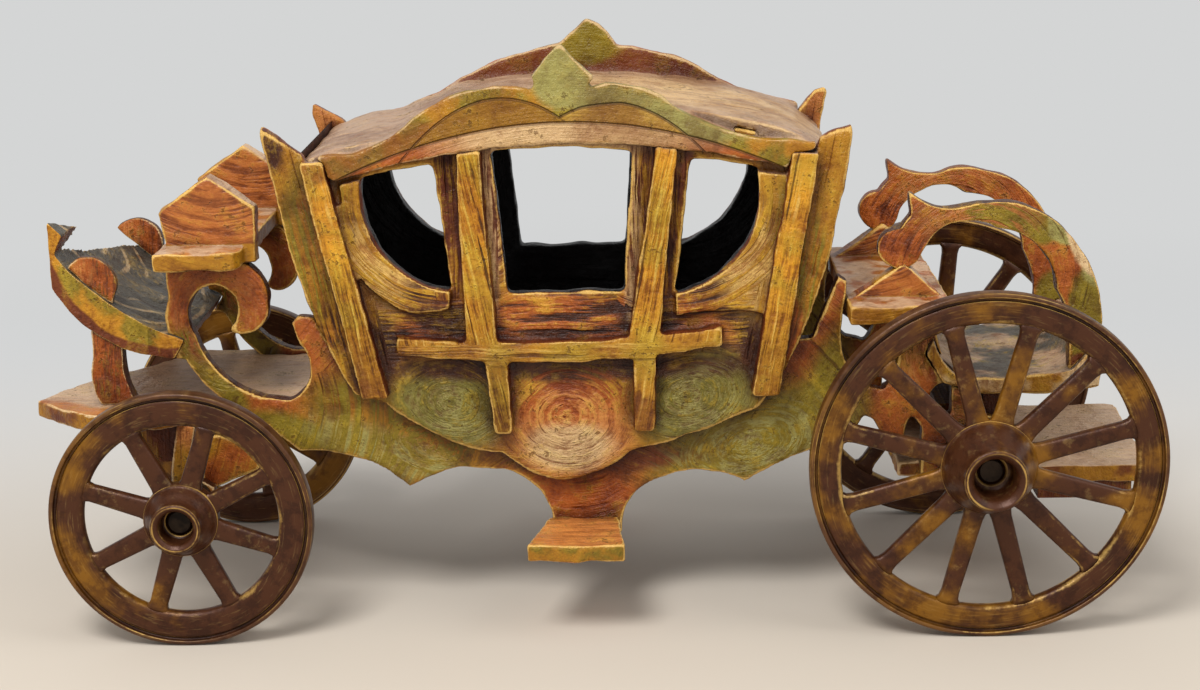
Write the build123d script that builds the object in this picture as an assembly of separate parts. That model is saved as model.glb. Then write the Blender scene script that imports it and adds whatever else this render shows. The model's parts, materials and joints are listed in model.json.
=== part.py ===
from build123d import *
import math
import os

# A table-top coach in sawn and carved boards on four cast wheels, in millimetres.
# It faces -X, its left side is -Y, +Z is up and the floor is z = 0.
# Outlines are drawn about the middle of the cabin; place() then moves every piece
# so that the origin lies on the floor under the middle of the whole coach.

# Board stock
board = 9.0              # side plates, seats, platforms
panel = 8.0              # cabin side panels
wall = 7.0               # cabin end walls and floor
batten = 7.5             # how far the gilt battens stand proud of the panels
fascia = 6.0             # roof fascia boards
roof_sheet = 5.0         # thickness of the curved roof sheet
hanger = 7.0             # straps that hang the front axle
strap_foot = 9.7         # how far a strap runs on below its axle
strap_neck = 13.3        # and how far above it the strap widens
gable = 12.0             # gabled ends of the seats

# Widths, from the centre line
plate_outer = 55.0       # outer face of the side plates
bolster_outer = 34.0     # end of the rear bolster
wheel_face = 99.6        # outer face of the rims
seat_reach = 20.0        # seat boards past the side plates
platform_reach = 18.0    # front platform past the side plates, on the left
foot_reach = 2.0         # footboards past the side plates

# Wheels
front_radius = 66.7
rear_radius = 89.0
front_axle_x = -196.5
rear_axle_x = 207.6
rim_width = 9.5
bead = 2.6               # raised outer band of the tread
groove = 1.0             # turned groove inside the band
spoke_thick = 6.0
axle_radius = 3.15
running_fit = 0.06       # radial clearance of a wheel on its axle
side_play = 0.3          # free gap at each end of a hub
head_radius = 5.5        # riveted head of an axle
head_thick = 2.5
head_pocket = 7.0        # radius of the pocket in a hub that holds the head
collar_radius = 9.0      # shoulder of an axle inside each hub
spoke_fillet = 2.5
hub_back = -13.0         # inner end of a hub, from the middle of the rim
front_spokes = 8
rear_spokes = 12
front_socket = 8.6       # radius of the open socket in a front hub
rear_socket = 10.3
front_socket_floor = 3.0
rear_socket_floor = 6.0
front_hub_tip = 17.2     # outer end of a front hub
rear_hub_tip = 26.3
axle_hole = axle_radius + running_fit
pocket_depth = head_thick + 2 * side_play
WHEELS = (
    # end, axle x, radius, rim depth, spokes, turns left and right, hub radius, spoke widths,
    # socket, floor, tip, flare of the mouth across and deep
    ("front", front_axle_x, front_radius, 17.5, front_spokes, (27.0, -12.0), 17.6, (11.0, 9.0),
     front_socket, front_socket_floor, front_hub_tip, (2.4, 2.6)),
    ("rear", rear_axle_x, rear_radius, 16.0, rear_spokes, (15.0, -25.0), 22.8, (10.5, 9.0),
     rear_socket, rear_socket_floor, rear_hub_tip, (3.6, 4.4)),
)

# Heights
seat_top = 198.0         # driver's seat
rear_seat_top = 166.0
platform_top = 115.5     # front platform
rear_platform_top = 76.5
rear_bolster_top = 104.0
bolster_depth = 22.0     # front bolster under its platform
floor_under = 126.0      # underside of the cabin floor
step_top = 51.5
panel_waist = 190.8      # where the cabin side starts to widen into its horns
panel_blank = 290.0      # top of the cabin side before the roof is cut from it
roof_crown = 330.0       # above everything

# Lengths, from the middle of the cabin
front_reach = 280.0      # near tip of the front platform
rear_reach = 303.0       # far corner of the rear platform
rear_foot = 229.0        # foot of the rear scroll, where the rear platform widens
bracket_joint = 150.0    # side plate to rear scroll
front_joint = -160.0     # side plate to front scroll
roof_front = -133.0
roof_rear = 133.5
floor_front = -104.0     # cabin floor
floor_rear = 101.0
front_bulge = -130.0     # cabin end walls at half height
rear_bulge = 127.0
bolster_front = 190.0    # rear bolster
bolster_rear = 226.0
step_reach = 46.0        # step past the side plate

plate_inner = plate_outer - board
panel_outer = plate_outer + panel
batten_outer = panel_outer + batten
fascia_outer = panel_outer + fascia
hanger_outer = plate_outer + hanger
hub_mid = wheel_face - rim_width / 2
origin_x = (rear_reach - front_reach) / 2
under_front = platform_top - board
under_bolster = under_front - bolster_depth
SIDES = (("left", -1), ("right", 1))


def outline(start, *steps):
    """Closed face in the XZ plane. A step is (x, z), straight, or (mid x, mid z, x, z), an arc."""
    edges = []
    here = Vector(start[0], 0, start[1])
    for step in steps + (start,):
        there = Vector(step[-2], 0, step[-1])
        if len(step) == 4:
            edges.append(ThreePointArc(here, Vector(step[0], 0, step[1]), there))
        elif (there - here).length > 0.001:
            edges.append(Line(here, there))
        here = there
    return make_face(edges)


def board_between(face, y_from, y_to):
    """The outline as a board lying between two planes of y."""
    low = min(y_from, y_to)
    return extrude(Pos(0, low, 0) * face, amount=abs(y_to - y_from), dir=(0, 1, 0))


def block(x, y, z):
    """A squared block from its low and high limits along each axis."""
    size = (x[1] - x[0], y[1] - y[0], z[1] - z[0])
    middle = (sum(x) / 2, sum(y) / 2, sum(z) / 2)
    return Pos(*middle) * Box(*size)


def leaning(z_low, low_from, low_to, z_high, high_from, high_to):
    """Outline of a straight batten that leans, from its two ends."""
    return outline((low_from, z_low), (low_to, z_low), (high_to, z_high), (high_from, z_high))


def plan(z_low, z_high, *corners):
    """A board lying flat, from the corners of its plan (x, y)."""
    face = make_face(Polyline(*[(x, y, z_low) for x, y in corners], close=True))
    return extrude(face, amount=z_high - z_low, dir=(0, 0, 1))


def side_plate():
    """Lower frame plate: scalloped apron, pedestal for the step and the hooked uprights."""
    return outline(
        (front_joint, 118.3),
        (-145.5, 117.0),
        (-134.6, 128.0, -138.8, 145.7),
        (-142.8, 157.4),
        (-139.0, 161.0),
        (-131.4, 159.8),
        (-123.4, 145.5),
        (123.4, 145.5),
        (135.9, 178.0),
        (141.0, 175.0),
        (138.0, 150.0),
        (140.9, 132.0, bracket_joint, 120.5),
        (bracket_joint, 104.0),
        (140.0, 90.0),
        (110.0, 81.0, 88.7, 69.0),
        (72.0, 75.4, 49.8, 73.4),
        (33.0, 65.0, 24.6, step_top - board),
        (-11.8, step_top - board),
        (-19.5, 68.0, -38.4, 77.2),
        (-64.0, 77.6, -85.6, 68.6),
        (-109.0, 84.0, -142.0, 88.4),
        (front_joint, 105.0),
    )


def front_scroll():
    """Front bracket board: seat stalk, C-shaped curl and the S-bar down to the side plate."""
    under_seat = seat_top - board
    return outline(
        (front_joint, 118.3),
        (-179.0, 130.0, -191.4, 151.8),
        (-194.6, 164.0, -188.2, 175.6),
        (-176.0, 176.6, -169.9, 167.2),
        (-170.4, 160.6, -174.3, 154.2),
        (-169.3, 151.8),
        (-157.6, 156.2, -153.8, 167.0),
        (-155.6, 180.0, -164.0, under_seat),
        (-205.8, under_seat),
        (-205.0, 170.4),
        (-207.0, 162.0),
        (-204.0, 140.0),
        (-198.0, 139.6),
        (-183.0, 119.0, front_joint, 105.0),
    )


def rear_scroll():
    """Rear bracket board: broad stalk up to the seat, a pendant horn and the leg down to the axle."""
    under_seat = rear_seat_top - board
    under_platform = rear_platform_top - board
    stalk = outline(
        (bracket_joint, 120.5),
        (160.0, 118.0),
        (167.0, 134.0, 164.0, under_seat),
        (184.0, under_seat),
        (190.6, 132.1),
        (199.5, 123.5),
        (202.5, 120.0),
        (202.5, 106.0),
        (222.0, 100.0),
        (rear_foot, under_platform),
        (179.5, under_platform),
        (179.6, 97.1),
        (174.3, 104.2),
        (171.4, 99.0),
        (168.6, 88.0, 163.9, 81.8),
        (159.6, 92.0, 154.4, 101.8),
        (bracket_joint, 104.0),
    )
    return stalk - outline((182.8, 112.6), (187.0, 119.6, 194.2, 120.4), (194.2, 103.0), (186.6, 105.0))


def roof_region():
    """Everything above the underside of the roof sheet."""
    return outline(
        (roof_front, 235.5),
        (-117.0, 242.0, -96.0, 245.5),
        (-82.0, 249.5, -66.0, 257.5),
        (-4.0, 263.6, 66.0, 258.5),
        (92.0, 253.8, 118.0, 245.5),
        (roof_rear, 234.0),
        (roof_rear, roof_crown),
        (roof_front, roof_crown),
    )


def cabin_panel(front_horn, rear_horn):
    """Cabin side: horned top corners, ends curving in and a shallow V below, with three windows."""
    body = outline(
        (-141.5, 200.0),
        (-134.6, 176.0, -125.6, 151.7),
        (-119.0, 136.0, -110.7, 120.9),
        (-95.5, 117.0),
        (-72.0, 100.0, -36.9, 88.7),
        (-19.6, 78.0, -5.1, 73.5),
        (10.0, 77.4, 30.4, 89.3),
        (66.0, 99.3, 96.1, 112.6),
        (108.7, 130.9),
        (122.0, 161.0, 131.2, panel_waist),
        (roof_rear - wall, 236.0),
        (roof_rear - wall, panel_blank),
        (roof_front + wall, panel_blank),
        (roof_front + wall, 236.0),
    )
    windows = (
        outline((-37.0, 244.8), (-30.8, 173.2), (27.7, 173.9), (32.9, 243.9), (-2.7, 246.8, -37.0, 244.8)),
        outline((-101.8, 233.0), (-92.0, 194.0, -59.0, 174.7), (-66.6, 239.0), (-84.0, 236.9, -101.8, 233.0)),
        outline((95.0, 235.3), (86.0, 193.0, 53.9, 172.0), (61.6, 240.4), (78.0, 238.6, 95.0, 235.3)),
    )
    body = body - roof_region() + outline(*front_horn) + outline(*rear_horn)
    for window in windows:
        body -= window
    return body


def roof_fascia(top):
    """Ogee fascia board with a peaked shield in the middle, over the corner battens."""
    board_face = outline(
        *top,
        (123.9, 244.6),
        (112.4, 242.6),
        (109.3, 235.6),
        (-2.0, 249.3, -114.8, 232.4),
        (-121.0, 235.5),
    )
    for row in CORNER_BATTENS:
        board_face -= leaning(*row)
    return board_face


def roof_board():
    """The curved roof sheet in profile."""
    return roof_region() - Pos(0, 0, roof_sheet) * roof_region()


def end_wall(tops, mids, feet):
    """A curved end wall: the outer and inner x of its top, its middle and its foot."""
    return outline(
        (tops[0], 245.0), (mids[0], 192.0, feet[0], floor_under), (feet[1], floor_under),
        (mids[1], 192.0, tops[1], 245.0),
    )


def swan_arm():
    """Swan-necked arm above the rear seat, with its bevelled end."""
    return outline(
        (171.0, 220.5),
        (182.0, 213.6, 205.0, 214.0),
        (234.0, 210.5, 257.3, 190.5),
        (246.5, 168.5),
        (238.0, 190.0, 215.0, 201.0),
        (190.0, 202.5, 178.0, 188.5),
        (172.0, 181.5, 162.0, 182.6),
        (156.0, 192.0, 166.8, 201.8),
        (172.4, 209.0),
    )


def arm_post():
    """Rear part of the arm, bending down to the rear footboard."""
    return outline(
        (257.3, 190.5),
        (267.5, 168.0, 269.0, 139.0),
        (269.0, 118.0),
        (253.5, 118.0),
        (253.5, 140.0),
        (252.0, 156.0, 246.5, 168.5),
    )


def footboard_section():
    """Section of the dished front footboard, rising to its lip."""
    return outline(
        (-198.1, 149.5),
        (-226.5, 163.9, -255.9, 188.5),
        (-260.5, 195.5),
        (-256.4, 205.0),
        (-262.7, 211.5),
        (-267.3, 200.0),
        (-267.0, 187.0),
        (-246.0, 156.5, -203.5, 140.5),
    )


def rear_footboard_section():
    """Section of the dished rear footboard."""
    return outline(
        (184.5, 146.0),
        (190.6, 132.0, 199.2, 124.0),
        (226.1, 124.0, 254.9, 127.4),
        (266.5, 140.5),
        (272.0, 138.5),
        (269.0, 118.0),
        (240.0, 115.0, 205.0, 116.5),
        (190.0, 121.0),
        (181.0, 136.0),
    )


def front_post():
    """Curved post between the front platform and the footboard."""
    post = outline(
        (-246.0, 165.0), (-245.5, 140.0), (-247.0, 128.0, -243.0, platform_top), (-224.5, platform_top),
        (-230.0, 132.0, -228.0, 155.0),
    )
    return post - footboard_section()


def footboard_cheek():
    """Crescent fin standing on each side of the front footboard."""
    fin = outline((-255.4, 187.6), (-241.0, 193.0, -232.4, 172.0), (-236.0, 160.0), (-252.8, 176.0))
    return fin - footboard_section()


def fan():
    """Fan-shaped bracket beside the front bolster."""
    return outline(
        (-190.5, 98.0), (-172.9, 94.0, -161.6, 80.0), (-187.3, 69.7), (-193.0, 72.0), (-193.0, under_bolster),
        (-190.5, under_bolster),
    )


def hanger_strap():
    """Leaning strap that widens round the front axle."""
    foot = front_radius - strap_foot
    neck = front_radius + strap_neck
    return outline(
        (-203.0, under_front), (-208.0, neck), (-208.5, foot), (-186.0, foot), (-186.0, neck - 8.0),
        (-199.2, neck), (-193.2, under_front),
    )


def wheel_section(radius, rim_depth, hub_radius, socket, floor, tip, flare):
    """Half section of a wheel (r, outwards): domed hub with its flared socket, thin web and grooved rim."""
    rim_inner = radius - rim_depth
    half = rim_width / 2
    web = spoke_thick / 2
    across, deep = flare
    mouth = socket + across
    boss = mouth + 1.8
    shoulder = (hub_radius - boss) / 3
    rise = (tip - 5.0 - web) / 4
    return [
        (axle_hole, hub_back),
        (socket + 2.0, hub_back),
        (socket + 4.0, hub_back + 4.0),
        (hub_radius, -web - 2.0),
        (hub_radius + 1.0, -web),
        (rim_inner, -web),
        (rim_inner, groove - half),
        (radius - bead, groove - half),
        (radius - bead, -half),
        (radius, -half),
        (radius, half - groove),
        (radius - groove, half),
        (radius - bead, half),
        (radius - bead, half - 2 * groove),
        (radius - bead - groove, half - 2 * groove),
        (radius - bead - groove, half - groove / 2),
        (rim_inner, half - groove / 2),
        (rim_inner, web),
        (hub_radius + 1.0, web),
        (hub_radius, web + 1.2),
        (hub_radius - 0.5, web + rise),
        (hub_radius - shoulder, web + 2 * rise),
        (boss + shoulder, web + 3 * rise),
        (boss + 0.3, web + 4 * rise),
        (boss, tip - 3.4),
        (boss - 0.6, tip - 1.0),
        (boss - 1.6, tip),
        (mouth, tip - 0.3),
        (socket + across / 4, tip - deep * 0.55),
        (socket, tip - deep),
        (socket, floor + pocket_depth),
        (head_pocket, floor + pocket_depth),
        (head_pocket, floor),
        (axle_hole, floor),
    ]


def wheel(radius, rim_depth, spokes, first_angle, hub_radius, hub_width, tip_width, *hub):
    """Cast wheel about Z, outwards up, its web cut through between flat tapered spokes."""
    steps = wheel_section(radius, rim_depth, hub_radius, *hub)
    section = make_face(Polyline(*[(r, 0, z) for r, z in steps], close=True))
    cast = revolve(section, axis=Axis.Z)
    far = radius - rim_depth - 0.5
    near = hub_radius + 1.5
    pitch = 360 / spokes
    near_turn = math.degrees(math.asin(hub_width / 2 / near))
    far_turn = math.degrees(math.asin(tip_width / 2 / far))
    corners = (
        (near, near_turn),
        (far, far_turn),
        (far, pitch / 2),
        (far, pitch - far_turn),
        (near, pitch - near_turn),
        (near, pitch / 2),
    )
    a, b, far_mid, c, d, near_mid = [Vector(r, 0, 0).rotate(Axis.Z, turn) for r, turn in corners]
    gap = make_face([Line(a, b), ThreePointArc(b, far_mid, c), Line(c, d), ThreePointArc(d, near_mid, a)])
    gap = fillet([v for v in gap.vertices() if Vector(v.X, v.Y, 0).length > far - 1], spoke_fillet)
    opening = Pos(0, 0, -spoke_thick) * extrude(gap, amount=2 * spoke_thick)
    return cast - [Rotation(0, 0, first_angle + number * pitch) * opening for number in range(spokes)]


def axle(middle_x, middle_z, carrier_outer, socket_floor):
    """Fixed axle: rod, a collar between its carrier and each hub, and a riveted head in each socket."""
    rod_end = hub_mid + socket_floor + side_play
    collar_end = hub_mid + hub_back - side_play
    steps = [
        (0, -rod_end - head_thick), (head_radius, -rod_end - head_thick), (head_radius, -rod_end),
        (axle_radius, -rod_end), (axle_radius, -collar_end), (collar_radius, -collar_end),
        (collar_radius, -carrier_outer), (axle_radius, -carrier_outer), (axle_radius, carrier_outer),
        (collar_radius, carrier_outer), (collar_radius, collar_end), (axle_radius, collar_end),
        (axle_radius, rod_end), (head_radius, rod_end), (head_radius, rod_end + head_thick),
        (0, rod_end + head_thick),
    ]
    section = make_face(Polyline(*[(r, y, 0) for r, y in steps], close=True))
    return Pos(middle_x, 0, middle_z) * revolve(section, axis=Axis.Y)


# Horns of the cabin sides and tops of the fascia boards, which are hand-sawn and differ
HORNS = {
    "left": (
        ((-141.5, 200.0), (-126.0, 200.0), (-126.0, 236.0), (-131.2, 245.4), (-151.4, 259.0), (-152.3, 255.9),
         (-146.4, 228.0, -141.5, 200.0)),
        ((131.2, panel_waist), (135.6, 212.0, 142.2, 252.1), (141.3, 255.4), (125.9, 249.9), (120.0, 236.0),
         (120.0, panel_waist)),
    ),
    "right": (
        ((-141.5, 200.0), (-126.0, 200.0), (-122.0, 236.0), (-126.3, 244.9), (-143.0, 254.7), (-144.2, 249.0),
         (-139.2, 228.0, -141.5, 200.0)),
        ((131.2, panel_waist), (132.6, 214.0, 139.2, 256.2), (138.0, 258.6), (132.4, 257.2), (124.0, 247.0),
         (120.0, 236.0), (120.0, panel_waist)),
    ),
}
FASCIA_TOPS = {
    "left": (
        (-122.6, 245.5), (-104.8, 246.0), (-93.0, 250.6, -78.1, 260.2), (-59.0, 272.3, -34.6, 278.5),
        (-14.8, 276.7), (-16.2, 282.8), (-9.9, 291.0), (-1.7, 298.5), (6.0, 290.4), (15.2, 281.9),
        (10.3, 276.3), (20.8, 279.0), (37.6, 276.6, 52.9, 268.3), (76.0, 256.0, 101.2, 250.1), (123.8, 248.7),
    ),
    "right": (
        (-122.6, 244.5), (-104.8, 248.5), (-84.0, 254.6, -62.0, 265.9), (-41.0, 275.6, -17.5, 282.1),
        (-6.7, 284.3), (0.7, 291.4), (8.1, 298.1), (14.4, 294.7), (19.7, 290.1), (24.5, 282.8),
        (48.3, 278.6, 70.1, 270.7), (88.0, 259.6, 108.0, 253.6), (123.8, 249.6),
    ),
}
# Gilt battens on each side panel: low z, low x from and to, high z, high x from and to
UPPER_BATTENS = (
    (148.0, -52.2, -36.8, 248.0, -53.9, -42.3),
    (148.0, 29.7, 45.3, 248.0, 45.0, 55.4),
)
LOWER_BATTENS = (
    (101.0, -39.1, -30.0, 148.0, -43.5, -32.1),
    (101.5, 31.7, 41.8, 148.0, 32.9, 44.1),
)
CORNER_BATTENS = (
    (120.5, -106.1, -92.8, 242.4, -132.0, -120.1),
    (119.5, 91.6, 105.7, 243.2, 111.9, 125.2),
)
# Raised surrounds of the quarter windows, along their curved edge
SURROUNDS = (
    ((-112.9, 230.4), (-102.4, 233.0), (-92.6, 194.4, -59.4, 175.2), (-60.4, 166.4), (-92.0, 170.0, -107.4, 190.0),
     (-112.4, 210.0)),
    ((94.2, 234.0), (108.4, 232.0), (107.9, 215.2), (103.4, 184.0, 99.8, 160.8), (76.0, 163.4, 53.6, 160.5),
     (53.4, 172.6), (84.6, 190.6, 94.2, 234.0)),
)
parts = {}
fascia_faces = {}

for side, sign in SIDES:
    plate_boards = {
        "side_plate": side_plate(),
        "front_scroll": front_scroll() - footboard_section(),
        "rear_scroll": rear_scroll() - rear_footboard_section(),
        "swan_arm": swan_arm(),
        "arm_post": arm_post() - rear_footboard_section(),
    }
    for name, face in plate_boards.items():
        parts[f"{name}_{side}"] = board_between(face, sign * plate_inner, sign * plate_outer)
    parts[f"cabin_panel_{side}"] = board_between(cabin_panel(*HORNS[side]), sign * plate_outer, sign * panel_outer)
    fascia_faces[side] = roof_fascia(FASCIA_TOPS[side])
    parts[f"roof_fascia_{side}"] = board_between(fascia_faces[side], sign * panel_outer, sign * fascia_outer)

# Cabin shell between the side panels
plates = [parts["side_plate_left"], parts["side_plate_right"]]
panels = [parts["cabin_panel_left"], parts["cabin_panel_right"]]
above_roof = board_between(roof_region(), -panel_outer, panel_outer)
parts["roof_sheet"] = board_between(roof_board(), -panel_outer, panel_outer) - panels
walls = {
    "front_wall": end_wall(
        (roof_front, roof_front + wall), (front_bulge, front_bulge + wall), (floor_front, floor_front + wall)
    ),
    "rear_wall": end_wall(
        (roof_rear, roof_rear - wall), (rear_bulge, rear_bulge - wall), (floor_rear, floor_rear - wall)
    ),
}
for name, face in walls.items():
    parts[name] = board_between(face, -plate_outer, plate_outer) - above_roof - plates
floor_block = block((floor_front, floor_rear), (-plate_inner, plate_inner), (floor_under, floor_under + wall))
parts["cabin_floor"] = floor_block - parts["front_wall"] - parts["rear_wall"]

# Gilt battens and waist rail on each side panel
rail_face = outline(
    (-87.3, 144.0), (-5.0, 138.6, 76.4, 146.3), (76.4, 155.7), (-4.0, 149.2, -87.3, 152.4)
)
for side, sign in SIDES:
    panel_side = sign * panel_outer
    rail = board_between(rail_face, panel_side, sign * batten_outer)
    parts[f"waist_rail_{side}"] = rail
    corners = [board_between(leaning(*row), panel_side, sign * batten_outer) for row in CORNER_BATTENS]
    pillars = [
        board_between(leaning(*row) - rail_face - fascia_faces[side], panel_side, sign * batten_outer)
        for row in UPPER_BATTENS + LOWER_BATTENS
    ]
    surrounds = []
    for row in SURROUNDS:
        surround = outline(*row) - fascia_faces[side]
        for corner in CORNER_BATTENS:
            surround -= leaning(*corner)
        surrounds.append(board_between(surround, panel_side, sign * (panel_outer + batten / 2)))
    parts[f"battens_{side}"] = Compound(children=corners + pillars + surrounds)
    parts[f"step_{side}"] = plan(
        step_top - board, step_top,
        (-13.4, sign * plate_outer), (22.6, sign * plate_outer), (26.3, sign * (plate_outer + step_reach - 2)),
        (2.0, sign * (plate_outer + step_reach)), (-22.9, sign * (plate_outer + step_reach - 3)),
    )

# Seats with gabled ends
seat_edge = plate_outer + seat_reach
gable_outer = plate_outer + 1
parts["driver_seat"] = plan(
    seat_top - board, seat_top, (-207.0, -seat_edge), (-174.0, -seat_edge), (-167.0, -seat_edge + 3),
    (-164.0, -seat_edge + 10), (-164.0, seat_edge - 10), (-167.0, seat_edge - 3), (-174.0, seat_edge),
    (-207.0, seat_edge),
)
parts["rear_seat"] = plan(
    rear_seat_top - board, rear_seat_top, (140.5, -seat_edge), (186.0, -seat_edge), (192.0, -seat_edge + 6),
    (192.0, seat_edge - 6), (186.0, seat_edge), (140.5, seat_edge),
)
gable_face = outline(
    (-204.0, seat_top), (-207.2, 215.8), (-181.0, 234.0), (-157.5, 218.0), (-158.5, seat_top - board),
    (-164.0, seat_top - board), (-164.0, seat_top),
)
rear_gable_face = outline((143.0, rear_seat_top), (169.4, 184.7), (188.8, rear_seat_top))
seat_gables = []
rear_gables = []
for side, sign in SIDES:
    seat_gables.append(board_between(gable_face, sign * (gable_outer - gable), sign * gable_outer))
    blank = board_between(rear_gable_face, sign * (gable_outer - gable), sign * gable_outer)
    rear_gables.append(blank - parts[f"swan_arm_{side}"])
parts["driver_gables"] = Compound(children=seat_gables)
parts["rear_gables"] = Compound(children=rear_gables)

# Footboards
foot_edge = plate_outer + foot_reach
slanted_off = plan(
    100.0, 230.0, (-275.0, -foot_edge), (-263.4, -foot_edge), (-244.6, foot_edge), (-275.0, foot_edge)
)
lip_line = (
    (-275.0, -foot_edge, 212.0), (-275.0, -foot_edge + 26, 205.0), (-275.0, foot_edge, 184.0),
    (-275.0, foot_edge, 230.0), (-275.0, -foot_edge, 230.0),
)
above_lip = extrude(make_face(Polyline(*lip_line, close=True)), amount=40.0, dir=(1, 0, 0))
parts["footboard"] = board_between(footboard_section(), -foot_edge, foot_edge) - slanted_off - above_lip
parts["rear_footboard"] = board_between(rear_footboard_section(), -foot_edge, foot_edge)
rear_post = outline(
    (bolster_rear - 14, rear_platform_top), (bolster_rear - 14, 118.0), (bolster_rear, 118.0),
    (bolster_rear, rear_platform_top),
) - rear_footboard_section()
posts = []
cheeks = []
rear_posts = []
for side, sign in SIDES:
    posts.append(board_between(front_post(), sign * plate_inner, sign * plate_outer))
    cheeks.append(board_between(footboard_cheek(), sign * (plate_outer - 5), sign * plate_outer))
    rear_posts.append(board_between(rear_post, sign * bolster_outer, sign * plate_inner))
parts["footboard_posts"] = Compound(children=posts)
parts["footboard_cheeks"] = Compound(children=cheeks)
parts["rear_posts"] = Compound(children=rear_posts)

# Platforms, bolsters and axles
parts["front_platform"] = plan(
    under_front, platform_top, (-front_reach, -44.0), (-262.0, -62.0), (-246.0, -plate_outer - platform_reach),
    (-212.0, -plate_outer - platform_reach), (-196.0, -62.0), (-180.0, -foot_edge),
    (-180.0, -plate_inner), (-110.0, -plate_inner), (-110.0, plate_inner), (-180.0, plate_inner),
    (-180.0, foot_edge), (-216.0, foot_edge), (-228.0, 34.0), (-262.0, -8.0),
)
parts["front_bolster"] = block(
    (-221.0, -190.5), (-plate_outer, plate_outer), (under_bolster, under_front)
)
parts["rear_platform"] = plan(
    rear_platform_top - board, rear_platform_top, (168.0, -plate_inner), (rear_foot, -plate_inner),
    (rear_foot, -foot_edge), (rear_reach - 7, -foot_edge), (rear_reach, foot_edge), (rear_foot, foot_edge),
    (rear_foot, plate_inner), (168.0, plate_inner),
)
parts["rear_bearer"] = block(
    (rear_foot + 11, rear_reach - 15), (-foot_edge + 2, foot_edge - 2),
    (rear_platform_top - 2 * board, rear_platform_top - board),
)
parts["rear_bolster"] = block(
    (bolster_front, bolster_rear), (-bolster_outer, bolster_outer), (rear_platform_top, rear_bolster_top)
)

parts["front_axle"] = axle(front_axle_x, front_radius, hanger_outer, front_socket_floor)
parts["rear_axle"] = axle(rear_axle_x, rear_radius, plate_outer, rear_socket_floor)
front_rod = Pos(front_axle_x, 0, front_radius) * Rotation(90, 0, 0) * Cylinder(axle_radius, 2 * wheel_face)
rear_rod = Pos(rear_axle_x, 0, rear_radius) * Rotation(90, 0, 0) * Cylinder(axle_radius, 2 * wheel_face)
for side, sign in SIDES:
    strap = board_between(hanger_strap(), sign * plate_outer, sign * hanger_outer)
    parts[f"axle_hanger_{side}"] = strap - front_rod
    parts[f"fan_bracket_{side}"] = board_between(fan(), sign * plate_inner, sign * plate_outer)
    parts[f"rear_scroll_{side}"] -= rear_rod
parts["rear_bolster"] -= rear_rod

for end, axle_x, radius, rim_depth, spokes, turns, hub_radius, widths, *hub in WHEELS:
    for (side, sign), turn in zip(SIDES, turns):
        made = wheel(radius, rim_depth, spokes, turn, hub_radius, *widths, *hub)
        seat = Plane(origin=(axle_x, sign * hub_mid, radius), x_dir=(1, 0, 0), z_dir=(0, sign, 0))
        parts[f"{end}_wheel_{side}"] = seat * made

os.makedirs("parts", exist_ok=True)
for name, solid in parts.items():
    export_step(Pos(-origin_x, 0, 0) * solid, f"parts/{name}.step")
print(len(parts), "nodes, origin", origin_x)
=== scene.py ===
import json
import math

import bmesh
import bpy
import numpy as np
from bpy.props import FloatProperty, FloatVectorProperty, PointerProperty
from mathutils import Matrix, Vector

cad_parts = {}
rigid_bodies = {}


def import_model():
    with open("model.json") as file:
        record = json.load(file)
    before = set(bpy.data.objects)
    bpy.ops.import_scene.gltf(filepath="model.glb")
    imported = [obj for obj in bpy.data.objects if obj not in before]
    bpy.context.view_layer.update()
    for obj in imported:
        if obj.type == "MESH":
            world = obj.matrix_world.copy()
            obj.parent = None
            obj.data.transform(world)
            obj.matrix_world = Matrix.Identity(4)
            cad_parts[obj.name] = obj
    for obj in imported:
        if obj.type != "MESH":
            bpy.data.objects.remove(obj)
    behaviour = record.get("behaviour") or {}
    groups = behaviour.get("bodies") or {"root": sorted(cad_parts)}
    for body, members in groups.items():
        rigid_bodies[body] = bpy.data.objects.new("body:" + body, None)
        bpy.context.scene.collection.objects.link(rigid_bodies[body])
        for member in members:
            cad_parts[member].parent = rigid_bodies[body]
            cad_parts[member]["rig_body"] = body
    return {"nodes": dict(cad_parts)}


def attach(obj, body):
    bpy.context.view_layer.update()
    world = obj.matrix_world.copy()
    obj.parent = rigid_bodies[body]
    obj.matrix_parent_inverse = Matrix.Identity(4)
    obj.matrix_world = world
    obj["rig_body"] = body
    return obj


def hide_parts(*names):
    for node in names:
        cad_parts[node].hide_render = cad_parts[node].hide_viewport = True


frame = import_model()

bl_info = {
    "name": "Toy Coach Dresser",
    "version": (1, 0, 0),
    "blender": (4, 5, 0),
    "location": "View3D > Sidebar > Coach",
    "description": "Paints and carves a table-top toy coach over its packed boards and wheels",
    "category": "Object",
}

MM = 0.001
NODES = frame["nodes"]
BODY_OF = {node: made["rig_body"] for node, made in NODES.items()}
SIDES = ("left", "right")

# Places on the cabin; distances are from its middle, and a pair is where one paint runs into another
CABIN_X = -11.5 * MM              # its middle, from the middle of the whole coach
PILLARS = (-51, 45)               # between the windows, in mm
RAIL = 142.5 * MM                 # height of the waist rail's middle
EAVES = (232 * MM, 236 * MM)      # height at the foot of the horns
HORN = (100 * MM, 106 * MM)       # distance of the horns
SILL = (168 * MM, 171 * MM)       # height at the foot of the windows
JAMB = (104.5 * MM, 102.5 * MM)   # distance of the windows' outer edge

# Paint
RING = 30 * MM                    # radius at which strokes in rings are as long as straight ones
BROWN, DEEP = (0.36, 0.18, 0.07), (0.17, 0.07, 0.03)   # glaze and grime, with painted shade where they darken low places, corners and hollows, as shares of the paint under them
CREST_HIGHLIGHT = (0.46, 0.27, 0.02)        # painted highlight on the high places, with what rubbing adds there
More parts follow.
